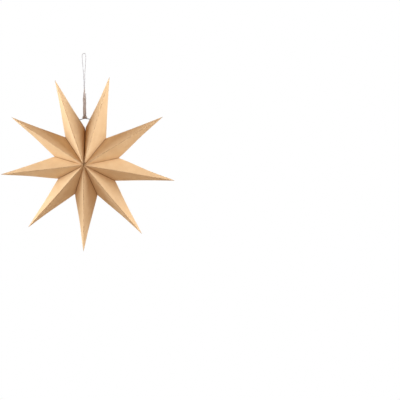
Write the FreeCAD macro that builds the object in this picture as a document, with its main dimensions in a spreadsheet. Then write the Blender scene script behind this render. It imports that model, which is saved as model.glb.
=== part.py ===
import FreeCAD, Part
import math
import os
import Sketcher

# A hanging paper star. Nine rays, each folded from one sheet of brown card, are glued side by
# side in a fan that closes into a ring, and string ties the two end rays together at the top.
# Units are millimetres and degrees. The top of the hanging loop is the origin, the front of
# the star looks along -Y, and +Z is up.

SIZES = {
    "tip_reach": 150.0,        # from the star's axis to the tip of a ray
    "notch_reach": 56.0,       # from the axis to the floor of the valley between two rays
    "half_depth": 38.0,        # from the middle plane to the centre of the front
    "ray_count": 9,
    "seam_turn": 35.8,         # between the two rays beside the tied seam
    "fan_ease": 0.8,           # each pitch round the fan is this much closer than the last
    "seam_lean": 3.0,          # the seam leans this much to the left of the string
    "card": 0.35,              # thickness of the card
    "flange_width": 8.0,       # glued strip that is folded in along each valley
    "tab_width": 6.0,          # glued overlap that closes a ray along its back ridge
    "tab_inset": 16.0,         # the overlap stays this far from the axis and from the tip
    "glue_film": 0.1,          # glue between the flanges of two rays
    "seam_slit": 1.0,          # open slit between the two rays that the string ties
    "centre_land": 0.5,        # length left at the blunt inner end of an end ray
    "hang_drop": 184.5,        # from the top of the loop down to the axis
    "tie_reach": 74.5,         # from the axis to the two punched holes
    "hole_diameter": 2.4,
    "punch_depth": 5.0,        # how far the punch goes past the edge of each ray
    "string_diameter": 1.0,
    "string_play": 0.06,       # between the tie and the knot round it
    "stopper_width": 3.4,      # knot in each end of the tie, inside its ray
    "stopper_height": 3.0,
    "knot_width": 8.4,
    "knot_height": 6.4,
    "knot_sink": 1.2,          # foot of the knot below the middle of the tie
    "knot_sides": 12,
    "neck_width": 3.6,         # width of the twisted tails where they leave the knot
    "swell_width": 5.2,        # and at their thickest
    "waist_width": 4.2,        # and below their frayed ends
    "end_width": 2.6,          # and at the top, where the two legs of the loop come out
    "swell_height": 10.0,      # heights above the middle of the knot
    "waist_height": 32.0,
    "end_height": 46.0,
}

# The routes of the two strings, as (across, up) in the middle plane.
LOOP_ROUTE = [
    (-0.55, -59.5), (-0.7, -40.0), (-2.2, -20.5), (-3.0, -8.8), (-3.0, -2.3), (0.0, 0.05),
    (3.0, -2.3), (3.0, -8.8), (2.2, -20.5), (0.7, -40.0), (0.55, -59.5),
]
TIE_ROUTE = [
    (-12.6, -111.8), (-6.8, -110.2), (0.0, -107.2), (6.8, -109.4), (12.6, -110.5),
]

FRONT_FACING = FreeCAD.Rotation(FreeCAD.Vector(1, 0, 0), 90)
ALONG_RAY = FreeCAD.Rotation(FreeCAD.Vector(1, 1, 1), 120)
ROUND_AXIS = FreeCAD.Vector(0, 1, 0)

doc = FreeCAD.newDocument("paper_star")
sheet = doc.addObject("Spreadsheet::Sheet", "sizes")
for row, (alias, value) in enumerate(SIZES.items(), start=1):
    sheet.set("A%d" % row, alias)
    sheet.set("B%d" % row, str(value))
    sheet.setAlias("B%d" % row, alias)
doc.recompute()


def size(alias):
    """A driving size, read back from the sheet."""
    return float(getattr(sheet, alias))


def bind(obj, **expressions):
    """Ties an object's properties to the sheet, with __ standing for a dot."""
    for path, expression in expressions.items():
        obj.setExpression(path.replace("__", "."), expression)
    return obj


def outline(name, rotation, corners):
    """A closed sketch whose corners are given as expressions, across and up from the origin."""
    sketch = doc.addObject("Sketcher::SketchObject", name)
    sketch.Placement = FreeCAD.Placement(FreeCAD.Vector(), rotation)
    count = len(corners)
    turns = [math.radians(360.0 * number / count) for number in range(count)]
    start = [FreeCAD.Vector(math.cos(turn), math.sin(turn), 0) for turn in turns]
    for number in range(count):
        sketch.addGeometry(Part.LineSegment(start[number], start[(number + 1) % count]), False)
    for number in range(count):
        sketch.addConstraint(Sketcher.Constraint("Coincident", number, 2, (number + 1) % count, 1))
    for number, corner in enumerate(corners):
        for kind, expression in zip(("DistanceX", "DistanceY"), corner):
            index = sketch.addConstraint(Sketcher.Constraint(kind, -1, 1, number, 1, 1.0))
            label = "%s_%d" % (kind, number)
            sketch.renameConstraint(index, label)
            sketch.setExpression("Constraints." + label, expression)
    return sketch


def boolean(kind, name, base, tool):
    """One shape cut from, joined to or limited by another."""
    obj = doc.addObject("Part::" + kind, name)
    obj.Base = base
    obj.Tool = tool
    return obj


# Angles round the fan. The pitch between two rays eases off evenly from the first to the last.
MEAN_PITCH = "((360 - sizes.seam_turn) / (sizes.ray_count - 1))"


def pitch(gap):
    """The angle across one valley; gap 0 is the tied seam and gap ray_count is the seam again."""
    if gap in (0, int(size("ray_count"))):
        return "sizes.seam_turn"
    return "(%s + sizes.fan_ease * (sizes.ray_count / 2 - %d))" % (MEAN_PITCH, gap)


def ray_angle(number):
    """How far ray number is turned clockwise from straight up."""
    turned = " + ".join(["sizes.seam_turn / 2"] + [pitch(gap) for gap in range(1, number)])
    return "(%s - sizes.seam_lean)" % turned


# The spike that every ray is cut from: a long pyramid on a rhombus, lying along X, with its
# base across the star's axis. Its half width there follows from where two rays meet.
HALF_PITCH = "(%s / 2)" % MEAN_PITCH
ROOT = "(sin(%s) / (1 / sizes.notch_reach - cos(%s) / sizes.tip_reach))" % (HALF_PITCH, HALF_PITCH)
TO_FACET = "(1 / sqrt(1 / sizes.tip_reach ^ 2 + 1 / sizes.half_depth ^ 2 + 1 / %s ^ 2))" % ROOT
TO_VALLEY = ("(sizes.notch_reach * sizes.half_depth"
             " / sqrt(sizes.notch_reach ^ 2 + sizes.half_depth ^ 2))")


def spike(name, scale):
    """A pyramid of the ray's form, smaller by scale, so that each facet moves in evenly."""
    base = outline(name + "_root", ALONG_RAY, [
        ("sizes.half_depth * " + scale, "0"),
        ("0", ROOT + " * " + scale),
        ("-sizes.half_depth * " + scale, "0"),
        ("0", "-%s * %s" % (ROOT, scale)),
    ])
    tip = bind(doc.addObject("Part::Vertex", name + "_tip"), X="sizes.tip_reach * " + scale)
    body = doc.addObject("Part::Loft", name)
    body.Sections = [base, tip]
    body.Solid = True
    body.Ruled = True
    return body


outer_spike = spike("outer_spike", "1")
hollow_spike = spike("hollow_spike", "(1 - sizes.card / %s)" % TO_FACET)
tab_spike = spike("tab_spike", "(1 - 2 * sizes.card / %s)" % TO_FACET)
window_spike = spike("window_spike", "(1 - sizes.flange_width / %s)" % TO_VALLEY)

# The glued overlap lies against the inside of one back facet, beside the ridge.
tab_block = bind(
    doc.addObject("Part::Box", "tab_block"),
    Length="sizes.tip_reach - 2 * sizes.tab_inset",
    Width="sizes.half_depth",
    Height="sizes.tab_width",
    Placement__Base__x="sizes.tab_inset",
)
tab_strip = boolean("Cut", "tab_strip", tab_block, tab_spike)


# The inner ends of the rays, where the slit leaves an end ray just wide enough, and where the
# two flanges of a ray no longer lie against each other.
NEAR = "(sizes.seam_slit / 2 / sin(sizes.seam_turn / 2) + sizes.centre_land)"
INNER_NEAR = ("((sizes.seam_slit / 2 + sizes.card) / sin(sizes.seam_turn / 2)"
              " + 2 * sizes.centre_land)")


def wedge(name, sides, near):
    """The room between two seams, as (half angle, distance kept from the seam) for each side."""
    corners = []
    for sign, (half, inset) in zip(("", "-"), sides):
        reach = [(near, "%s(%s * tan(%s) - (%s) / cos(%s))" % (sign, near, half, inset, half)),
                 ("sizes.tip_reach",
                  "%s(sizes.tip_reach * tan(%s) - (%s) / cos(%s))" % (sign, half, inset, half))]
        corners.append(reach)
    sketch = outline(name + "_outline", FRONT_FACING, corners[0] + corners[1][::-1])
    body = doc.addObject("Part::Extrusion", name)
    body.Base = sketch
    body.DirMode = "Normal"
    body.Solid = True
    body.Symmetric = True
    bind(body, LengthFwd="2 * sizes.half_depth + 2 * sizes.card")
    return body


def folded_ray(number, last):
    """One sheet of card, folded on four creases, with its flanges turned in along the valleys."""
    name = "%s_%d" % ("end_ray" if number in (1, last) else "ray", number)
    halves = ["%s / 2" % pitch(number - 1), "%s / 2" % pitch(number)]
    films = ["sizes.seam_slit / 2" if open_side else "sizes.glue_film / 2"
             for open_side in (number == 1, number == last)]
    room = wedge(name + "_room", list(zip(halves, films)), NEAR)
    insets = [film + " + sizes.card" for film in films]
    inner_room = wedge(name + "_inner_room", list(zip(halves, insets)), INNER_NEAR)
    skin = boolean("Common", name + "_skin", outer_spike, room)
    hollow = boolean("Common", name + "_hollow", hollow_spike, inner_room)
    cavity = boolean("Cut", name + "_cavity", hollow, tab_strip)
    walls = boolean("Cut", name + "_walls", skin, cavity)
    ray = boolean("Cut", name, walls, window_spike)
    ray.Placement = FreeCAD.Placement(FreeCAD.Vector(), FreeCAD.Rotation(ROUND_AXIS, 90))
    return bind(
        ray,
        Placement__Rotation__Angle=ray_angle(number) + " - 90",
        Placement__Base__x="sizes.tie_reach * sin(sizes.seam_lean)",
        Placement__Base__z="-sizes.hang_drop",
    )


ray_total = int(size("ray_count"))
rays = [folded_ray(number, ray_total) for number in range(1, ray_total + 1)]

# The string's holes are punched through the edges of the two end rays, square to the seam.
HALF_SEAM = "sizes.seam_turn / 2"
TO_EDGE = ("((sizes.tie_reach * (sin(%s) + %s * cos(%s) / sizes.tip_reach) - %s)"
           " / (cos(%s) - %s * sin(%s) / sizes.tip_reach))"
           % (HALF_SEAM, ROOT, HALF_SEAM, ROOT, HALF_SEAM, ROOT, HALF_SEAM))
PUNCH_REACH = "(%s + sizes.punch_depth)" % TO_EDGE
punch = doc.addObject("Part::Cylinder", "string_punch")
punch.Placement = FreeCAD.Placement(FreeCAD.Vector(), FreeCAD.Rotation(ROUND_AXIS, 90))
bind(
    punch,
    Radius="sizes.hole_diameter / 2",
    Height="2 * " + PUNCH_REACH,
    Placement__Rotation__Angle="90 - sizes.seam_lean",
    Placement__Base__x="-%s * cos(sizes.seam_lean)" % PUNCH_REACH,
    Placement__Base__z=("sizes.tie_reach * cos(sizes.seam_lean) - sizes.hang_drop"
                        " - %s * sin(sizes.seam_lean)" % PUNCH_REACH),
)
for number in (1, ray_total):
    rays[number - 1] = boolean("Cut", "ray_%d" % number, rays[number - 1], punch)


def rounded_wire(label, route):
    """Straight runs joined by arcs that are as large as their two runs allow."""
    points = [FreeCAD.Vector(across, 0, up) for across, up in route]
    edges = []
    radii = []
    here = points[0]
    for before, corner, after in zip(points, points[1:], points[2:]):
        arriving = (corner - before).normalize()
        leaving = (after - corner).normalize()
        half_turn = arriving.getAngle(leaving) / 2
        tangent = 0.45 * min((corner - before).Length, (after - corner).Length)
        radius = tangent / math.tan(half_turn)
        inward = (leaving - arriving).normalize()
        first = corner - arriving * tangent
        middle = corner + inward * (radius / math.cos(half_turn) - radius)
        last = corner + leaving * tangent
        edges.append(Part.LineSegment(here, first).toShape())
        edges.append(Part.Arc(first, middle, last).toShape())
        radii.append(round(radius, 1))
        here = last
    edges.append(Part.LineSegment(here, points[-1]).toShape())
    print(label, "arc radii", radii)
    return Part.Wire(edges)


def string_shape(label, route, diameter):
    """A round string along its route."""
    wire = rounded_wire(label, route)
    start = wire.Edges[0]
    circle = Part.Circle(start.valueAt(start.FirstParameter),
                         start.tangentAt(start.FirstParameter), diameter / 2)
    tube = wire.makePipeShell([Part.Wire(circle.toShape())], True, False)
    expected = math.pi * diameter ** 2 / 4 * wire.Length
    print("%s length %.1f, top %.2f, volume over section times length %.4f"
          % (label, wire.Length, wire.BoundBox.ZMax, tube.Volume / expected))
    return tube


def feature(name, shape):
    """A shape made with Part's own functions."""
    obj = doc.addObject("Part::Feature", name)
    obj.Shape = shape
    return obj


def turned(name, across, middle, sections):
    """A knot or a twist of string: straight sides between many-sided (width, height) sections."""
    rings = []
    for number, (width, height) in enumerate(sections, start=1):
        ring = doc.addObject("Part::RegularPolygon", "%s_ring_%d" % (name, number))
        bind(ring, Polygon="sizes.knot_sides", Circumradius=width + " / 2",
             Placement__Base__z="%s + %s" % (middle, height))
        ring.Placement.Base.x = across
        rings.append(ring)
    body = doc.addObject("Part::Loft", name)
    body.Sections = rings
    body.Solid = True
    body.Ruled = True
    return body


def knot_sections(knot):
    """A knot's rounded outline, from its foot to its top."""
    shape = [(0.5, -0.5), (0.85, -0.3), (1.0, 0.0), (0.85, 0.3), (0.45, 0.5)]
    return [("%s * sizes.%s_width" % (wide, knot), "%s * sizes.%s_height" % (high, knot))
            for wide, high in shape]


# The tie runs through both holes, with a stopper knot in each end inside its ray.
tie_tube = feature("tie_tube", string_shape("tie_string", TIE_ROUTE, size("string_diameter")))
stoppers = [
    turned(side + "_stopper", across, str(up), knot_sections("stopper"))
    for side, (across, up) in (("left", TIE_ROUTE[0]), ("right", TIE_ROUTE[-1]))
]
tie_string = doc.addObject("Part::MultiFuse", "tie_string")
tie_string.Shapes = [tie_tube] + stoppers

# The hanging loop is knotted round the middle of the tie, and its tails are twisted round its
# two legs above the knot. Turns of the knot grip the tie from both sides, down to its foot.
tie_top = rounded_wire("tie", TIE_ROUTE).BoundBox.ZMax
KNOT_MIDDLE = "(%s - sizes.knot_sink + sizes.knot_height / 2)" % tie_top
knot_and_tails = turned("knot_and_tails", 0.0, KNOT_MIDDLE, knot_sections("knot")[:-1] + [
    ("sizes.neck_width", "0.5 * sizes.knot_height"),
    ("sizes.swell_width", "sizes.swell_height"),
    ("sizes.waist_width", "sizes.waist_height"),
    ("sizes.end_width", "sizes.end_height"),
])
tie_grip = bind(
    doc.addObject("Part::Box", "tie_grip"),
    Length="2 * sizes.knot_width",
    Width="sizes.string_diameter + 2 * sizes.string_play",
    Height="sizes.knot_height",
    Placement__Base__x="-sizes.knot_width",
    Placement__Base__y="-sizes.string_diameter / 2 - sizes.string_play",
    Placement__Base__z=("%s + sizes.string_diameter / 2 + sizes.string_play - sizes.knot_height"
                        % tie_top),
)
loop_knot = boolean("Cut", "loop_knot", knot_and_tails, tie_grip)

hanging_loop = feature("hanging_loop", string_shape(
    "hanging_loop", LOOP_ROUTE, size("string_diameter")))

doc.recompute()
for obj in doc.Objects:
    if "Invalid" in obj.State or "Error" in obj.State:
        raise RuntimeError("%s failed: %s" % (obj.Name, obj.State))
pieces = rays + [tie_string, loop_knot, hanging_loop]
for piece in pieces:
    if piece.Shape.isNull() or not piece.Shape.isValid() or len(piece.Shape.Solids) != 1:
        raise RuntimeError("%s is not one valid solid" % piece.Label)

os.makedirs("parts", exist_ok=True)
for piece in pieces:
    piece.Shape.exportStep(os.path.join("parts", piece.Label + ".step"))
    box = piece.Shape.BoundBox
    print("%s volume %.1f box %.1f..%.1f %.1f..%.1f %.1f..%.1f" % (
        piece.Label, piece.Shape.Volume, box.XMin, box.XMax, box.YMin, box.YMax, box.ZMin, box.ZMax))
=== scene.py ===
"""A folded paper star, hung by a string loop: nine hollow rays of brown card glued side by side,
with an open seam between the first and the last that a short tie holds closed.

Everything is in metres. X is to the star's right, Z is up, and the front looks along minus Y.
"""

import bmesh
import bpy
import numpy as np
from mathutils import Matrix


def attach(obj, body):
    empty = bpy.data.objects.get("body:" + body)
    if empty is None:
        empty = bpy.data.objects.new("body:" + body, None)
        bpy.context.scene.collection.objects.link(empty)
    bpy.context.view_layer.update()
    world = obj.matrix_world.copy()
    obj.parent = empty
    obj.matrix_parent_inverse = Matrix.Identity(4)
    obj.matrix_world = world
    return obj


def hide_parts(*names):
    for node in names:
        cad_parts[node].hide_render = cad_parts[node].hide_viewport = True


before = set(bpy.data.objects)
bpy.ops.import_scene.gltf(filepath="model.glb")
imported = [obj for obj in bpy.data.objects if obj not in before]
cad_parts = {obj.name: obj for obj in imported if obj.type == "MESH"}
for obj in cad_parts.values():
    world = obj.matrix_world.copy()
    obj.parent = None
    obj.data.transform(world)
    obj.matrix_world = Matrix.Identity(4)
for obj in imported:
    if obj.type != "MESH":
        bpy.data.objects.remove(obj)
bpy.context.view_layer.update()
scene = bpy.context.scene
scene.view_settings.view_transform = "Standard"

# The camera stands about 1.6 m from the star, a little to its right and a little above it, and
# looks past it on the right, so the star comes out left of the middle.
CAMERA_PLACE = (0.2669, -1.5749, -0.0831)
CAMERA_YAW = np.radians(-2.68)
CAMERA_PITCH = np.radians(-5.86)
PIXELS_PER_UNIT = 943.7

ahead = np.array([
    np.sin(CAMERA_YAW) * np.cos(CAMERA_PITCH),
    np.cos(CAMERA_YAW) * np.cos(CAMERA_PITCH),
    np.sin(CAMERA_PITCH),
])
right = np.array([np.cos(CAMERA_YAW), -np.sin(CAMERA_YAW), 0.0])
placed = np.eye(4)
placed[:3, 0] = right
placed[:3, 1] = np.cross(right, ahead)
placed[:3, 2] = -ahead
placed[:3, 3] = CAMERA_PLACE
lens = bpy.data.cameras.new("camera")
lens.sensor_fit = "HORIZONTAL"
lens.sensor_width = 36.0
lens.lens = PIXELS_PER_UNIT * 36.0 / 400
camera = bpy.data.objects.new("camera", lens)
camera.matrix_world = Matrix(placed.tolist())
scene.collection.objects.link(camera)
scene.camera = camera


# The hanging loop is a length of thin cotton string, three plies twisted together.
# It leaves the tails above the knot, opens into a narrow eye, and comes back beside itself.
LOOP_ROUTE = [
    (-0.00055, 0, -0.0595), (-0.0007, 0, -0.0400), (-0.0022, 0, -0.0205), (-0.0030, 0, -0.0088),
    (-0.0030, 0, -0.0023), (0.0, 0, 0.00005), (0.0030, 0, -0.0023), (0.0030, 0, -0.0088),
    (0.0022, 0, -0.0205), (0.0007, 0, -0.0400), (0.00055, 0, -0.0595),
]
STRING_WIDTH = 0.0010
PLY_RADIUS = 0.00025
PLY_LAY = 0.00027
PLY_TURN = 0.0032


def read_route(name, route, step):
    """The points of a smooth curve along a string's route, a given step apart.

    The route's points are the control points of one open NURBS spline of order 3.
    """
    line = bpy.data.curves.new(name, "CURVE")
    line.dimensions = "3D"
    line.resolution_u = 48
    spline = line.splines.new("NURBS")
    spline.points.add(len(route) - 1)
    spline.points.foreach_set("co", np.insert(np.array(route, float), 3, 1.0, axis=1).ravel())
    spline.order_u = 3
    spline.use_endpoint_u = True
    holder = bpy.data.objects.new(name, line)
    read = bpy.data.meshes.new_from_object(holder)
    points = np.empty(len(read.vertices) * 3)
    read.vertices.foreach_get("co", points)
    points = points.reshape(-1, 3)
    bpy.data.objects.remove(holder)
    bpy.data.curves.remove(line)
    bpy.data.meshes.remove(read)
    along = np.append(0, np.cumsum(np.linalg.norm(np.diff(points, axis=0), axis=1)))
    even = np.linspace(0, along[-1], int(along[-1] / step) + 1)
    return np.stack([np.interp(even, along, points[:, axis]) for axis in range(3)], axis=1)


def directions(lines, closed):
    """Unit directions along lines: the step from each point's forerunner to its follower."""
    step = np.roll(lines, -1, -2) - np.roll(lines, 1, -2)
    if not closed:
        step = np.gradient(lines, axis=-2)
    return step / np.linalg.norm(step, axis=-1, keepdims=True)


def strand_lines(path, across, count, lay, turn, closed=False):
    """Centre lines of strands twisted round a path.

    Each is the path plus the lay radius times the cosine of the twist along one cross direction and
    its sine along the other. The twist grows by a full turn in each turn length.
    """
    tangent = directions(path, closed)
    across = across - (across * tangent).sum(-1, keepdims=True) * tangent
    across /= np.linalg.norm(across, axis=-1, keepdims=True)
    other = np.cross(tangent, across)
    along = np.append(0, np.cumsum(np.linalg.norm(np.diff(path, axis=0), axis=1)))
    if closed:
        turn = (along[-1] + along[1]) / round(along[-1] / turn)
    twist = 2 * np.pi * (np.arange(count)[:, None] / count + along / turn)
    offset = np.cos(twist)[..., None] * across + np.sin(twist)[..., None] * other
    return path + lay * offset


def tubes(lines, radii, sides, closed=False):
    """Round tubes along many lines at once, as points, faces and thread coordinates.

    A ring of points stands square to each line at each of its points: the line's point plus its
    radius times the cosine and sine of the angle round it. Open tubes end in flat caps.
    """
    strands, stations = lines.shape[:2]
    tangent = directions(lines, closed)
    guide = np.where(np.abs(tangent[..., 1:2]) < 0.93, [0.0, 1.0, 0.0], [1.0, 0.0, 0.0])
    first = np.cross(tangent, guide)
    first /= np.linalg.norm(first, axis=2, keepdims=True)
    second = np.cross(tangent, first)
    angle = 2 * np.pi * np.arange(sides) / sides
    ring = np.cos(angle)[:, None] * first[:, :, None] + np.sin(angle)[:, None] * second[:, :, None]
    radius = np.broadcast_to(radii, (strands, stations))[:, :, None, None]
    points = lines[:, :, None] + radius * ring
    along = np.append(0, np.cumsum(np.linalg.norm(np.diff(lines[0], axis=0), axis=1)))
    thread = np.empty((strands, stations, sides, 3))
    thread[..., 0] = np.cos(angle)
    thread[..., 1] = np.sin(angle)
    thread[..., 2] = (along * 1000)[:, None] + 37.0 * np.arange(strands)[:, None, None]
    number = np.arange(strands * stations * sides).reshape(strands, stations, sides)
    after = np.roll(number, -1, 1) if closed else number[:, 1:]
    before = number if closed else number[:, :-1]
    quads = np.stack([before, np.roll(before, -1, 2), np.roll(after, -1, 2), after], axis=-1)
    faces = quads.reshape(-1, 4).tolist()
    if not closed:
        faces += number[:, 0, ::-1].tolist() + number[:, -1].tolist()
    return points.reshape(-1, 3), faces, thread.reshape(-1, 3)


def joined(parts):
    """Several sets of points, faces and thread coordinates as one, with the faces counted on."""
    shift = np.cumsum([0] + [len(points) for points, faces, thread in parts])
    faces = []
    for (points, own, thread), first in zip(parts, shift):
        faces += [[index + first for index in face] for face in own]
    points = np.concatenate([part[0] for part in parts])
    return points, faces, np.concatenate([part[2] for part in parts])


def make_piece(name, points, faces, material, attributes=()):
    """A smooth-shaded mesh object at the origin, with its vector attributes."""
    mesh = bpy.data.meshes.new(name)
    mesh.from_pydata(np.asarray(points).tolist(), [], faces)
    mesh.shade_smooth()
    for key, values in attributes:
        layer = mesh.attributes.new(key, "FLOAT_VECTOR", "POINT")
        layer.data.foreach_set("vector", np.asarray(values, np.float32).ravel())
    mesh.materials.append(material)
    piece = bpy.data.objects.new(name, mesh)
    scene.collection.objects.link(piece)
    return piece


def linear(colour):
    """An sRGB hex colour as linear light: over 12.92 when dark, and else a power of 2.4."""
    level = np.array([int(colour[i:i + 2], 16) for i in (1, 3, 5)]) / 255
    level = np.where(level <= 0.04045, level / 12.92, ((level + 0.055) / 1.055) ** 2.4)
    return (*level.tolist(), 1.0)


def node(tree, kind, inputs=(), **settings):
    """Adds one node. Its settings are set by name, and each input gets a value or a socket."""
    made = tree.nodes.new(kind)
    for key, value in settings.items():
        setattr(made, key, value)
    for key, value in dict(inputs).items():
        if isinstance(value, bpy.types.NodeSocket):
            tree.links.new(value, made.inputs[key])
        else:
            made.inputs[key].default_value = value
    return made


def twisted_cotton(name, pale, shade, through):
    """Spun cotton: matt and slightly translucent, with fibres that wind round each ply."""
    material = bpy.data.materials.new(name)
    material.use_nodes = True
    tree = material.node_tree
    tree.nodes.clear()
    thread = node(tree, "ShaderNodeAttribute", attribute_name="thread")
    # Fibres are drawn about 0.3 mm apart, coarser than the real 0.02 mm, so that they show.
    drawn = node(tree, "ShaderNodeMapping", {
        "Vector": thread.outputs["Vector"], "Scale": (2.2, 2.2, 0.9),
    })
    fibre = node(tree, "ShaderNodeTexNoise", {
        "Vector": drawn.outputs["Vector"], "Scale": 1.6, "Detail": 3.0, "Roughness": 0.6,
    })
    tone = node(tree, "ShaderNodeMapRange", {
        "Value": fibre.outputs["Fac"], "From Min": 0.3, "From Max": 0.7,
    })
    colour = node(tree, "ShaderNodeMix", {
        "Factor": tone.outputs["Result"], "A": linear(shade), "B": linear(pale),
    }, data_type="RGBA")
    relief = node(tree, "ShaderNodeBump", {
        "Height": fibre.outputs["Fac"], "Strength": 0.5, "Distance": 0.0001,
    })
    surface = node(tree, "ShaderNodeBsdfPrincipled", {
        "Base Color": colour.outputs["Result"], "Roughness": 0.92, "Specular IOR Level": 0.25,
        "Sheen Weight": 0.25, "Sheen Roughness": 0.5, "Normal": relief.outputs["Normal"],
    })
    # The fibres let through light from the white room behind them.
    glow = node(tree, "ShaderNodeBsdfTranslucent", {"Color": colour.outputs["Result"]})
    fibres = node(tree, "ShaderNodeMixShader", {
        0: through, 1: surface.outputs["BSDF"], 2: glow.outputs["BSDF"],
    })
    node(tree, "ShaderNodeOutputMaterial", {"Surface": fibres.outputs["Shader"]})
    return material


pale_cotton = twisted_cotton("pale_cotton_string", "#EFF0F3", "#DEE0E5", 0.5)
loop_path = read_route("loop_route", LOOP_ROUTE, 0.0003)
front_to_back = np.array([0.0, 1.0, 0.0])
loop_plies = strand_lines(loop_path, front_to_back, 3, PLY_LAY, PLY_TURN)
points, faces, thread = tubes(loop_plies, PLY_RADIUS, 8)
hanging_string = make_piece("hanging_string", points, faces, pale_cotton, [("thread", thread)])
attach(hanging_string, "root")
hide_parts("hanging_loop")


# Each ray is one sheet of uncoated brown card, scored and folded to a hollow point: a front ridge,
# two side creases and a back ridge where it overlaps itself. Narrow flanges turned in along the
# valleys are glued to the next ray, except at the seam between rays 9 and 1.
TIP_REACH = 0.150
NOTCH_REACH = 0.056
HALF_DEPTH = 0.038
SEAM_TURN = 35.8
FAN_EASE = 0.8
SEAM_LEAN = 3.0
TIE_REACH = 0.0745
HANG_DROP = 0.1845
CARD = 0.00035
GLUED_GAP = 0.00005
SEAM_GAP = 0.0005
NEAR_AXIS = (0.0018, 0.0006)
FLANGE_WIDTH = 0.008
LEAST_WIDTH = 0.00005
EDGE_CLEARANCE = 0.0002
OVERLAP_WIDTH = 0.006
OVERLAP_SPAN = (0.018, 0.132)
OVERLAP_DEPTHS = (1.25, 2.2)
OVERLAP_STATIONS = 31
RIDGE_ROUNDING = 0.00022
CREASE_ROUNDING = 0.0004
WAVE_ROUNDING = 0.0003
FOLD_RADIUS = 0.0005
VALLEY_POINTS = 41
END_POINTS = 10
FACET_ROWS = 26
HOLE_RADIUS = 0.0012
HOLE_HEIGHT = -0.1101
HOLE_REACH = 0.013
SHORTEST_EDGE = 0.00002

mean_turn = (360 - SEAM_TURN) / 8
turns = mean_turn + FAN_EASE * (4.5 - np.arange(1, 9))
ray_angles = np.radians(SEAM_TURN / 2 - SEAM_LEAN + np.append(0, np.cumsum(turns)))
half_turns = np.radians(np.concatenate([[SEAM_TURN], turns, [SEAM_TURN]])) / 2
half_gaps = np.array([SEAM_GAP] + [GLUED_GAP] * 8 + [SEAM_GAP])
ROOT_WIDTH = np.sin(np.radians(mean_turn / 2)) / (
    1 / NOTCH_REACH - np.cos(np.radians(mean_turn / 2)) / TIP_REACH
)
STAR_CENTRE = np.array([TIE_REACH * np.sin(np.radians(SEAM_LEAN)), 0, -HANG_DROP])
FACET_SLOPE = np.sqrt(TIP_REACH ** -2 + ROOT_WIDTH ** -2 + HALF_DEPTH ** -2)


def rounded(value, edge):
    """The size of a number with a rounded bottom: the root of its square plus the edge's square."""
    return np.sqrt(value ** 2 + edge ** 2)


def card_skin(halves, gaps, inside, near, hand):
    """One face of a ray's card, as rows of points round it, from just behind the tip to its rim.

    The facets are rulings from the tip to a closed line round the ray's root. A facet is the plane
    where x over the tip reach plus s over the root width plus f over the half depth is 1, with x
    along the ray, s sideways and f forward. The root line follows the valleys, where the facets
    meet the planes between neighbours. Past it the card turns in by the flange's width. The inside
    face is the same surface moved back along the ray, by the distance that leaves the card's
    thickness. The card is drawn in a little between notch and tip, and waves slightly.
    """
    back = inside * FACET_SLOPE
    tip = np.array([TIP_REACH * (1 - back), 0.0, 0.0])
    start = max([near] + [(g + inside) / np.sin(h) + EDGE_CLEARANCE for h, g in zip(halves, gaps)])
    spread = np.linspace(-1, 1, VALLEY_POINTS)
    spread = np.sign(spread) * np.abs(spread) ** 1.6
    sides = start * np.tan(halves) - (gaps + inside) / np.cos(halves)
    roots, inward, widths = [], [], []
    for side in (1, -1):
        half = halves[(1 + side) // 2]
        gap = gaps[(1 + side) // 2] + inside
        # The cut end of the front or back facets, then the valley from there to the other face.
        s = np.linspace(-sides[0], sides[1], END_POINTS)[::side][:-1]
        level = 1 - back - start / TIP_REACH - rounded(s, RIDGE_ROUNDING) / ROOT_WIDTH
        roots.append(np.stack([np.full(END_POINTS - 1, start), s, side * HALF_DEPTH * level], axis=1))
        inward.append(np.tile([-1.0, 0.0, 0.0], (END_POINTS - 1, 1)))
        widths.append(np.full(END_POINTS - 1, LEAST_WIDTH))
        reach = HALF_DEPTH * (1 - back - start / TIP_REACH - sides[(1 + side) // 2] / ROOT_WIDTH)
        f = -side * spread[:-1] * reach
        q = 1 - back - rounded(f, CREASE_ROUNDING) / HALF_DEPTH
        x = (q + gap / (ROOT_WIDTH * np.cos(half))) / (1 / TIP_REACH + np.tan(half) / ROOT_WIDTH)
        s = side * (x * np.tan(half) - gap / np.cos(half))
        roots.append(np.stack([x, s, f], axis=1))
        slant = np.hypot(HALF_DEPTH, NOTCH_REACH)
        turn_in = -HALF_DEPTH / slant
        inward.append(np.stack([
            np.full(VALLEY_POINTS - 1, turn_in * np.cos(half)),
            np.full(VALLEY_POINTS - 1, side * turn_in * np.sin(half)),
            -NOTCH_REACH / slant * f / rounded(f, CREASE_ROUNDING),
        ], axis=1))
        to_edge = (np.abs(f) - EDGE_CLEARANCE) * slant / NOTCH_REACH
        room = np.minimum(to_edge, (x - start) / -turn_in)
        widths.append(np.clip(np.minimum(room, FLANGE_WIDTH), LEAST_WIDTH, None))
    root = np.concatenate(roots)
    inward = np.concatenate(inward)
    width = np.concatenate(widths)[:, None]
    ruling = tip - root
    fold = np.minimum(FOLD_RADIUS, width / 2)
    first = fold / np.linalg.norm(ruling, axis=1, keepdims=True)
    share = np.linspace(0, 1, FACET_ROWS)[:, None, None]
    climb = 0.985 * (1 - share) + first * share
    facets = root + climb * ruling
    bend = np.array([0.25, 0.5, 0.75])[:, None, None]
    outwards = ruling / np.linalg.norm(ruling, axis=1, keepdims=True)
    turned = root + fold * ((1 - bend) ** 2 * outwards + bend ** 2 * inward)
    flange = root + (fold + np.array([0, 0.5, 1.0])[:, None, None] * (width - fold)) * inward
    rows = np.concatenate([facets, turned, flange])
    climb = np.concatenate([climb[..., 0], np.zeros((6, len(root)))])
    return wave_card(rows, climb, tip, hand), tip


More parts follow.
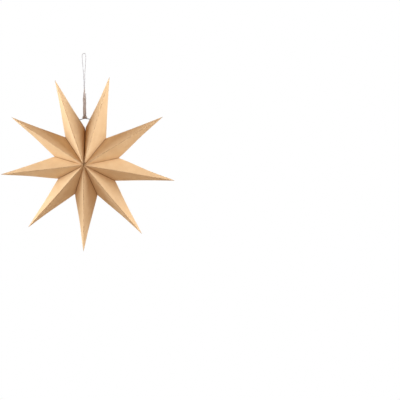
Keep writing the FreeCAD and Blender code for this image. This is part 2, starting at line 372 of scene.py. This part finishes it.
def wave_card(rows, climb, tip, hand):
    """The card's own bends. Between notch and tip the section is drawn in by up to the pull, as the
    square of a sine. Each facet bulges as the product of its two edge distances, and sines of the
    distance along it, with a random start, wave it. All of it fades out at the valleys and the tip.
    """
    x, s, f = np.moveaxis(rows, -1, 0)
    left = np.maximum(1 - x / tip[0], 0.004)
    beyond = np.clip((x - NOTCH_REACH) / (tip[0] - NOTCH_REACH), 0, 1)
    pull = np.sin(np.pi * beyond) ** 2
    front = f / rounded(f, WAVE_ROUNDING)
    right_side = s / rounded(s, WAVE_ROUNDING)
    facet = np.where(f > 0, 1, 0) + np.where(s > 0, 2, 0)
    share = np.clip(np.abs(s) / (ROOT_WIDTH * left), 0, 1)
    between = 4 * share * (1 - share) * 4 * climb * (1 - climb)
    bulge = hand["bulge"][facet] + 0.00016 * np.sin(x / 0.0085 + hand["start"][facet] + 2 * share)
    bulge = (bulge + 0.00010 * np.sin(x / 0.0041 + 3 * hand["start"][facet] - 5 * share)) * between
    wander = 0.00022 * np.sin(x / 0.017 + hand["start"][0]) * 4 * climb * (1 - climb)
    s = s * (1 - hand["pull"] * pull / (ROOT_WIDTH * left)) + bulge * right_side * 0.78 + wander
    f = f * (1 - 0.4 * hand["pull"] * pull / (HALF_DEPTH * left)) + bulge * front * 0.61
    return np.stack([x, s, f], axis=-1)


def ray_frame(number):
    """A ray's own directions as rows: along it, sideways clockwise, and forward.

    The three are a left-handed set, so folded_ray turns its faces round at the end.
    """
    angle = ray_angles[number - 1]
    return np.array([
        [np.sin(angle), 0, np.cos(angle)],
        [np.cos(angle), 0, -np.sin(angle)],
        [0, -1, 0],
    ])


def overlap_strip(half, gap, hand):
    """The glued overlap inside the back ridge: a thin flat bar that narrows to the tip.

    Its four edges run along the inside of one back facet, at two depths and two distances from
    the ridge. It waves with the card, by its share of the way from the valley to the tip.
    """
    x = np.linspace(*OVERLAP_SPAN, OVERLAP_STATIONS)[:, None]
    away = np.array([0.0004, 1.0, 1.0, 0.0004])
    deep = np.repeat(OVERLAP_DEPTHS, 2) * CARD * FACET_SLOPE
    width = np.where(away == 1.0, OVERLAP_WIDTH * (1 - x / TIP_REACH) ** 0.5 * 0.7, away)
    s = width * 0.62
    f = -HALF_DEPTH * (1 - deep - x / TIP_REACH - s / ROOT_WIDTH)
    points = np.stack([np.broadcast_to(x, s.shape), s, f], axis=-1)
    down = s * np.cos(half) + (TIP_REACH - x) * np.sin(half)
    climb = 1 - down / (TIP_REACH * np.sin(half) - gap)
    points = wave_card(points, climb, np.array([TIP_REACH, 0.0, 0.0]), hand).reshape(-1, 3)
    number = np.arange(4 * OVERLAP_STATIONS).reshape(-1, 4)
    quads = np.stack([
        number[:-1], np.roll(number[:-1], -1, 1), np.roll(number[1:], -1, 1), number[1:],
    ], axis=-1).reshape(-1, 4).tolist()
    return points, quads + [number[0, ::-1].tolist(), number[-1].tolist()]


def fold_distances(mesh, number):
    """Writes each point's distance to the ridge, the side crease and the valley, and to the tip.

    Inside a facet's plane, each distance is the straight one to a plane through the fold, over
    the sine of the angle between the two.
    """
    points = np.empty(len(mesh.vertices) * 3)
    mesh.vertices.foreach_get("co", points)
    x, s, f = ((points.reshape(-1, 3) - STAR_CENTRE) @ ray_frame(number).T).T
    lean = np.array([1 / TIP_REACH, 1 / ROOT_WIDTH, 1 / HALF_DEPTH]) / FACET_SLOPE
    half = np.where(s > 0, half_turns[number], half_turns[number - 1])
    gap = np.where(s > 0, half_gaps[number], half_gaps[number - 1])
    across = x * np.sin(half) - gap - np.abs(s) * np.cos(half)
    slant = np.sqrt(1 - (lean[1] * np.cos(half) - lean[0] * np.sin(half)) ** 2)
    folds = np.stack([
        np.abs(s) / np.sqrt(1 - lean[1] ** 2),
        np.abs(f) / np.sqrt(1 - lean[2] ** 2),
        np.clip(across, 0, None) / slant,
    ], axis=1)
    layer = mesh.attributes.new("folds", "FLOAT_VECTOR", "POINT")
    layer.data.foreach_set("vector", folds.astype(np.float32).ravel())
    layer = mesh.attributes.new("from_tip", "FLOAT", "POINT")
    layer.data.foreach_set("value", (TIP_REACH - x).astype(np.float32))


def brown_card():
    """Uncoated kraft card: matt, slightly cloudy, with dark flecks, dark dotted lines along the
    folds, and painted shade in the valleys.
    """
    material = bpy.data.materials.new("brown_kraft_card")
    material.use_nodes = True
    tree = material.node_tree
    tree.nodes.clear()
    place = node(tree, "ShaderNodeTexCoord").outputs["Object"]
    folds = node(tree, "ShaderNodeAttribute", attribute_name="folds")
    apart = node(tree, "ShaderNodeSeparateXYZ", {"Vector": folds.outputs["Vector"]})
    # Clouds in the pulp are 10 to 15 mm across.
    cloud = node(tree, "ShaderNodeTexNoise", {
        "Vector": place, "Scale": 85.0, "Detail": 4.0, "Roughness": 0.55,
    })
    # Flecks and fibres are drawn 1 to 2 mm long, coarser than the real 0.5 mm, so that they show.
    fleck = node(tree, "ShaderNodeTexNoise", {
        "Vector": place, "Scale": 900.0, "Detail": 2.0, "Roughness": 0.6,
    })
    fibre = node(tree, "ShaderNodeTexVoronoi", {
        "Vector": place, "Scale": 420.0, "Randomness": 1.0,
    }, feature="F1")
    cloudy = node(tree, "ShaderNodeMapRange", {
        "Value": cloud.outputs["Fac"], "From Min": 0.3, "From Max": 0.7,
    })
    ground = node(tree, "ShaderNodeMix", {
        "Factor": cloudy.outputs["Result"], "A": linear("#F4D9AC"), "B": linear("#FAE2B9"),
    }, data_type="RGBA")
    sparse = node(tree, "ShaderNodeMapRange", {
        "Value": fleck.outputs["Fac"], "From Min": 0.60, "From Max": 0.74, "To Max": 0.28,
    })
    flecked = node(tree, "ShaderNodeMix", {
        "Factor": sparse.outputs["Result"], "A": ground.outputs["Result"], "B": linear("#D6AD7B"),
    }, data_type="RGBA")
    # A dark dotted line runs along the ridges and side creases, fading out towards the tips.
    nearest = node(tree, "ShaderNodeMath", {
        0: apart.outputs["X"], 1: apart.outputs["Y"],
    }, operation="MINIMUM")
    line = node(tree, "ShaderNodeMapRange", {
        "Value": nearest.outputs["Value"],
        "From Min": 0.0002, "From Max": 0.0007, "To Min": 1.0, "To Max": 0.0,
    })
    broken = node(tree, "ShaderNodeTexNoise", {"Vector": place, "Scale": 330.0, "Detail": 1.0})
    dots = node(tree, "ShaderNodeMapRange", {
        "Value": broken.outputs["Fac"], "From Min": 0.45, "From Max": 0.6, "To Max": 0.5,
    })
    tip = node(tree, "ShaderNodeAttribute", attribute_name="from_tip")
    inwards = node(tree, "ShaderNodeMapRange", {
        "Value": tip.outputs["Fac"],
        "From Min": 0.015, "From Max": 0.060, "To Min": 0.0, "To Max": 1.0,
    })
    faint = node(tree, "ShaderNodeMath", {
        0: dots.outputs["Result"], 1: inwards.outputs["Result"],
    }, operation="MULTIPLY")
    dotted_line = node(tree, "ShaderNodeMath", {
        0: line.outputs["Result"], 1: faint.outputs["Value"],
    }, operation="MULTIPLY")
    creased = node(tree, "ShaderNodeMix", {
        "Factor": dotted_line.outputs["Value"], "A": flecked.outputs["Result"], "B": linear("#A87B4C"),
    }, data_type="RGBA")
    # Painted shade: within 8 mm of each valley's bottom line the card is painted browner, and a dark
    # line of painted shade runs along that bottom line. The dark line fades out where the nine
    # valleys run together at the centre.
    valley_shade = node(tree, "ShaderNodeMapRange", {
        "Value": apart.outputs["Z"],
        "From Min": 0.0, "From Max": 0.008, "To Min": 0.22, "To Max": 0.0,
    }, interpolation_type="SMOOTHSTEP")
    valley_shaded = node(tree, "ShaderNodeMix", {
        "Factor": valley_shade.outputs["Result"], "A": creased.outputs["Result"], "B": linear("#B87A36"),
    }, data_type="RGBA")
    # Painted shade: a dark line along the bottom of each valley.
    valley_line_shade = node(tree, "ShaderNodeMapRange", {
        "Value": apart.outputs["Z"],
        "From Min": 0.0003, "From Max": 0.0010, "To Min": 0.55, "To Max": 0.0,
    })
    middle = node(tree, "ShaderNodeMapRange", {
        "Value": tip.outputs["Fac"],
        "From Min": 0.128, "From Max": 0.146, "To Min": 1.0, "To Max": 0.0,
    })
    seam = node(tree, "ShaderNodeMath", {
        0: valley_line_shade.outputs["Result"], 1: middle.outputs["Result"],
    }, operation="MULTIPLY")
    valley_line_shaded = node(tree, "ShaderNodeMix", {
        "Factor": seam.outputs["Value"], "A": valley_shaded.outputs["Result"], "B": linear("#85501F"),
    }, data_type="RGBA")
    # The last few millimetres of each tip are greyed.
    greyed = node(tree, "ShaderNodeMapRange", {
        "Value": tip.outputs["Fac"],
        "From Min": 0.001, "From Max": 0.006, "To Min": 0.55, "To Max": 0.0,
    })
    grey_tipped = node(tree, "ShaderNodeMix", {
        "Factor": greyed.outputs["Result"], "A": valley_line_shaded.outputs["Result"], "B": linear("#A08E7C"),
    }, data_type="RGBA")
    cockled = node(tree, "ShaderNodeMath", {
        0: fleck.outputs["Fac"], 1: fibre.outputs["Distance"],
    }, operation="ADD")
    grain = node(tree, "ShaderNodeBump", {
        "Height": cockled.outputs["Value"], "Strength": 0.25, "Distance": 0.00008,
    })
    cockle = node(tree, "ShaderNodeBump", {
        "Height": cloud.outputs["Fac"], "Strength": 0.35, "Distance": 0.0006,
        "Normal": grain.outputs["Normal"],
    })
    dull = node(tree, "ShaderNodeMapRange", {
        "Value": cloud.outputs["Fac"],
        "From Min": 0.3, "From Max": 0.7, "To Min": 0.72, "To Max": 0.86,
    })
    surface = node(tree, "ShaderNodeBsdfPrincipled", {
        "Base Color": grey_tipped.outputs["Result"], "Roughness": dull.outputs["Result"],
        "Specular IOR Level": 0.3, "Normal": cockle.outputs["Normal"],
    })
    node(tree, "ShaderNodeOutputMaterial", {"Surface": surface.outputs["BSDF"]})
    return material


def folded_ray(number, material):
    """One ray's whole sheet as a closed shell: outer face, inner face, rims and glued overlap."""
    pick = np.random.default_rng(70 + number)
    hand = {
        "bulge": pick.uniform(-0.00025, 0.00035, 4),
        "start": pick.uniform(0, 2 * np.pi, 4),
        "pull": pick.uniform(0.0005, 0.0009),
    }
    halves = half_turns[number - 1:number + 1]
    gaps = half_gaps[number - 1:number + 1]
    near = NEAR_AXIS[0] if number in (1, 9) else NEAR_AXIS[1]
    outer, outer_tip = card_skin(halves, gaps, 0.0, near, hand)
    inner, inner_tip = card_skin(halves, gaps, CARD, near, hand)
    rows, columns = outer.shape[:2]
    one = np.arange(rows * columns).reshape(rows, columns)
    two = one + rows * columns
    sheet = np.stack([
        one[:-1], np.roll(one[:-1], -1, 1), np.roll(one[1:], -1, 1), one[1:],
    ], axis=-1)
    lining = np.stack([
        two[:-1], two[1:], np.roll(two[1:], -1, 1), np.roll(two[:-1], -1, 1),
    ], axis=-1)
    rim = np.stack([one[-1], np.roll(one[-1], -1), np.roll(two[-1], -1), two[-1]], axis=-1)
    last = 2 * rows * columns
    cap = np.stack([np.roll(one[0], -1), one[0], np.full(columns, last)], axis=-1)
    inner_cap = np.stack([two[0], np.roll(two[0], -1), np.full(columns, last + 1)], axis=-1)
    strip, strip_faces = overlap_strip(halves[1], gaps[1], hand)
    points = np.concatenate([
        outer.reshape(-1, 3), inner.reshape(-1, 3), [outer_tip, inner_tip], strip,
    ])
    faces = sheet.reshape(-1, 4).tolist() + lining.reshape(-1, 4).tolist() + rim.tolist()
    faces += cap.tolist() + inner_cap.tolist() + (np.array(strip_faces) + last + 2).tolist()
    faces = [face[::-1] for face in faces]
    points = STAR_CENTRE + points @ ray_frame(number)
    return make_piece(f"folded_ray_{number}", points, faces, material)


kraft_card = brown_card()
rays = [folded_ray(number, kraft_card) for number in range(1, 10)]

# The hole that each end ray has for the tie is punched through its inner side crease. The cut
# leaves slivers, and edges shorter than a sliver's are closed up.
lean = np.radians(SEAM_LEAN)
punch_line = np.array([0, 0, HOLE_HEIGHT]) + np.array([[-1.0], [1.0]]) * HOLE_REACH * np.array(
    [np.cos(lean), 0, np.sin(lean)]
)
points, faces, thread = tubes(punch_line[None], HOLE_RADIUS, 24)
punch = make_piece("punch", points, faces, kraft_card)
for ray in (rays[0], rays[8]):
    cut = ray.modifiers.new("punched_hole", "BOOLEAN")
    cut.operation = "DIFFERENCE"
    cut.solver = "EXACT"
    cut.object = punch
    bpy.context.view_layer.update()
    evaluated = ray.evaluated_get(bpy.context.evaluated_depsgraph_get())
    punched = bpy.data.meshes.new_from_object(evaluated)
    ray.modifiers.clear()
    ray.data = punched
    clean = bmesh.new()
    clean.from_mesh(punched)
    bmesh.ops.dissolve_degenerate(clean, dist=SHORTEST_EDGE, edges=clean.edges)
    clean.to_mesh(punched)
    clean.free()
bpy.data.objects.remove(punch)

for number, ray in enumerate(rays, 1):
    fold_distances(ray.data, number)
    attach(ray, "root")
    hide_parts(f"ray_{number}")


# The tie is a short length of dark three-ply twine through the two punched holes. A knot in each
# end, inside the ray, stops it. It crosses the open seam in a low arch, which the loop pulls up.
TIE_ROUTE = [
    (-0.0126, 0, -0.1118), (-0.0068, 0, -0.1104), (0.0, 0, -0.1082), (0.0068, 0, -0.1096),
    (0.0126, 0, -0.1105),
]
TWINE_PLY = 0.0003
TWINE_LAY = 0.00032
TWINE_TURN = 0.0036
STOPPER_SIZE = (0.0034, 0.0026, 0.0030)


def knot_line(middle, size, thick, stations):
    """The closed line of a pulled-tight overhand knot, three turns that pass over and under.

    Across it is the sine of the angle plus twice the sine of its double. Up it is twice the cosine
    of the double less the cosine, set level round its middle. Deep it is the sine of the treble.
    The string's thickness is taken off the size.
    """
    angle = 2 * np.pi * np.arange(stations) / stations
    across = (np.sin(angle) + 2 * np.sin(2 * angle)) / 2.7
    up = (2 * np.cos(2 * angle) - np.cos(angle) - 0.47) / 2.53
    deep = -np.sin(3 * angle)
    half = (np.array(size) - thick) / 2
    return np.array(middle) + np.stack([across, deep, up], axis=1) * half


dark_cotton = twisted_cotton("dark_waxed_twine", "#54463C", "#30271F", 0.0)
tie_path = read_route("tie_route", TIE_ROUTE, 0.0003)
tie_parts = [tubes(strand_lines(tie_path, front_to_back, 3, TWINE_LAY, TWINE_TURN), TWINE_PLY, 8)]
for end in (TIE_ROUTE[0], TIE_ROUTE[-1]):
    stopper = knot_line(end, STOPPER_SIZE, STRING_WIDTH, 90)
    plies = strand_lines(stopper, front_to_back, 3, PLY_LAY, TWINE_TURN, True)
    tie_parts.append(tubes(plies, PLY_RADIUS, 8, True))
points, faces, thread = joined(tie_parts)
tie_twine = make_piece("tie_twine", points, faces, dark_cotton, [("thread", thread)])
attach(tie_twine, "root")
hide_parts("tie_string")


# The loop's ends are knotted round the middle of the tie. Above the knot the frayed tails, a
# bundle of fine threads, lie twisted round the loop's two legs and thin out upwards.
KNOT_MIDDLE = (0.0, 0.0, -0.1058)
KNOT_SIZE = (0.0084, 0.0074, 0.0064)
KNOT_STRAND = 0.0026
TAILS_FOOT = -0.1034
TAILS_TOP = -0.0598
TAIL_THREADS = 34
THREAD_RADIUS = 0.00021
THREAD_POINTS = 70
TAIL_LEVELS = (0.0, 0.10, 0.25, 0.65, 0.85, 1.0)
TAIL_SPREAD = (0.0023, 0.0027, 0.0028, 0.0024, 0.0018, 0.0010)
KNOT_PLY = 0.00048
KNOT_LAY = 0.00085
KNOT_TURN = 0.012
KNOT_CORE = 0.0007


def tail_threads():
    """Fine threads that fill a twist which swells just above the knot and narrows to its top.

    Each thread keeps its own share of the twist's radius and winds round the middle, with a small
    wobble. Some end early, and the outer ones stand off a little at their ends.
    """
    pick = np.random.default_rng(31)
    rise = np.linspace(0, 1, THREAD_POINTS)
    ends = pick.uniform(0.62, 1.0, TAIL_THREADS)
    ends[:10] = 1.0
    height = TAILS_FOOT + (TAILS_TOP - TAILS_FOOT) * ends[:, None] * rise
    level = (height - TAILS_FOOT) / (TAILS_TOP - TAILS_FOOT)
    spread = np.interp(level, TAIL_LEVELS, TAIL_SPREAD)
    share = np.sqrt(pick.uniform(0.02, 1.0, (TAIL_THREADS, 1)))
    start = pick.uniform(0, 2 * np.pi, (TAIL_THREADS, 1))
    wobble = pick.uniform(0, 2 * np.pi, (TAIL_THREADS, 1))
    turn = start + 2.6 * level + 0.35 * np.sin(9 * level + wobble)
    loose = 0.0005 * np.clip(rise - 0.85, 0, 1) / 0.15 * share * (ends[:, None] < 0.97)
    out = spread * share * (1 + 0.12 * np.sin(13 * level + 2 * wobble)) + loose
    return np.stack([out * np.cos(turn), out * np.sin(turn), height], axis=-1)


taupe_cotton = twisted_cotton("taupe_cotton_thread", "#F8F5F4", "#E6E0DD", 0.5)
knot_path = knot_line(KNOT_MIDDLE, KNOT_SIZE, KNOT_STRAND, 240)
knot_parts = [
    tubes(strand_lines(knot_path, front_to_back, 6, KNOT_LAY, KNOT_TURN, True), KNOT_PLY, 8, True),
    tubes(knot_path[None], KNOT_CORE, 8, True),
    tubes(tail_threads(), THREAD_RADIUS, 6),
]
points, faces, thread = joined(knot_parts)
knotted_tails = make_piece("knotted_tails", points, faces, taupe_cotton, [("thread", thread)])
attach(knotted_tails, "root")
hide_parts("loop_knot")


# The floor is a plain pale disc well below the hanging star. The room behind it is white.
FLOOR_HEIGHT = -0.95
FLOOR_RADIUS = 1.0


def pale_floor():
    """Matt pale paper. The camera sees it mostly at full white, and wholly so towards its rim."""
    material = bpy.data.materials.new("pale_floor_paper")
    material.use_nodes = True
    tree = material.node_tree
    tree.nodes.clear()
    place = node(tree, "ShaderNodeTexCoord").outputs["Object"]
    flat = node(tree, "ShaderNodeVectorMath", {0: place, 1: (1.0, 1.0, 0.0)}, operation="MULTIPLY")
    out = node(tree, "ShaderNodeVectorMath", {0: flat.outputs["Vector"]}, operation="LENGTH")
    fade = node(tree, "ShaderNodeMapRange", {
        "Value": out.outputs["Value"],
        "From Min": 0.35, "From Max": 0.98, "To Min": 0.7, "To Max": 1.0,
    }, interpolation_type="SMOOTHSTEP")
    seen = node(tree, "ShaderNodeLightPath")
    direct = node(tree, "ShaderNodeMath", {
        0: seen.outputs["Is Camera Ray"], 1: seen.outputs["Is Glossy Ray"],
    }, operation="MAXIMUM")
    direct = node(tree, "ShaderNodeMath", {
        0: direct.outputs["Value"], 1: seen.outputs["Is Transmission Ray"],
    }, operation="MAXIMUM")
    glow = node(tree, "ShaderNodeMath", {
        0: direct.outputs["Value"], 1: fade.outputs["Result"],
    }, operation="MULTIPLY")
    paper = node(tree, "ShaderNodeBsdfDiffuse", {"Color": linear("#D8D6D3"), "Roughness": 0.5})
    white = node(tree, "ShaderNodeEmission", {"Color": linear("#FFFFFF"), "Strength": 1.0})
    mixed = node(tree, "ShaderNodeMixShader", {
        0: glow.outputs["Value"], 1: paper.outputs["BSDF"], 2: white.outputs["Emission"],
    })
    node(tree, "ShaderNodeOutputMaterial", {"Surface": mixed.outputs["Shader"]})
    return material


angle = np.linspace(0, 2 * np.pi, 97)[:-1]
rim = np.stack([
    FLOOR_RADIUS * np.cos(angle), FLOOR_RADIUS * np.sin(angle), np.full(96, FLOOR_HEIGHT),
], axis=1)
floor = make_piece("floor", rim, [list(range(96))], pale_floor())

world = bpy.data.worlds.new("room")
scene.world = world
world.use_nodes = True
tree = world.node_tree
tree.nodes.clear()
ROOM_COLOUR = "#FFB26C"
ROOM_STRENGTH = 0.25
path = node(tree, "ShaderNodeLightPath")
direct = node(tree, "ShaderNodeMath", {
    0: path.outputs["Is Camera Ray"], 1: path.outputs["Is Glossy Ray"],
}, operation="MAXIMUM")
direct = node(tree, "ShaderNodeMath", {
    0: direct.outputs["Value"], 1: path.outputs["Is Transmission Ray"],
}, operation="MAXIMUM")
room = node(tree, "ShaderNodeBackground", {"Color": linear(ROOM_COLOUR), "Strength": ROOM_STRENGTH})
white = node(tree, "ShaderNodeBackground", {"Color": linear("#FFFFFF"), "Strength": 1.0})
mixed = node(tree, "ShaderNodeMixShader", {
    0: direct.outputs["Value"], 1: room.outputs["Background"], 2: white.outputs["Background"],
})
node(tree, "ShaderNodeOutputWorld", {"Surface": mixed.outputs["Shader"]})


# Four soft boxes, each a metre square and 1.6 m off, light the star from both sides and leave
# the sides of the valleys that face each other to what the card itself throws back.
LAMP_SIZE = 1.0
LAMPS = {
    "left_high_box": ((-1.498, -0.131, 0.363), "#FFFFFF", 23.0),
    "left_low_box": ((-1.570, -0.200, -0.462), "#FFFFFF", 8.0),
    "right_high_box": ((1.306, -0.114, 0.733), "#FFFFFF", 18.0),
    "right_low_box": ((1.594, -0.139, -0.184), "#FFFAF6", 9.0),
}
for name, (place, colour, watts) in LAMPS.items():
    lamp = bpy.data.lights.new(name, "AREA")
    lamp.shape = "SQUARE"
    lamp.size = LAMP_SIZE
    lamp.color = linear(colour)[:3]
    lamp.energy = watts
    box = bpy.data.objects.new(name, lamp)
    toward = STAR_CENTRE - np.array(place)
    toward /= np.linalg.norm(toward)
    level = np.cross(toward, [0.0, 0.0, 1.0])
    level /= np.linalg.norm(level)
    turned = np.eye(4)
    turned[:3, 0] = level
    turned[:3, 1] = np.cross(level, toward)
    turned[:3, 2] = -toward
    turned[:3, 3] = place
    box.matrix_world = Matrix(turned.tolist())
    scene.collection.objects.link(box)
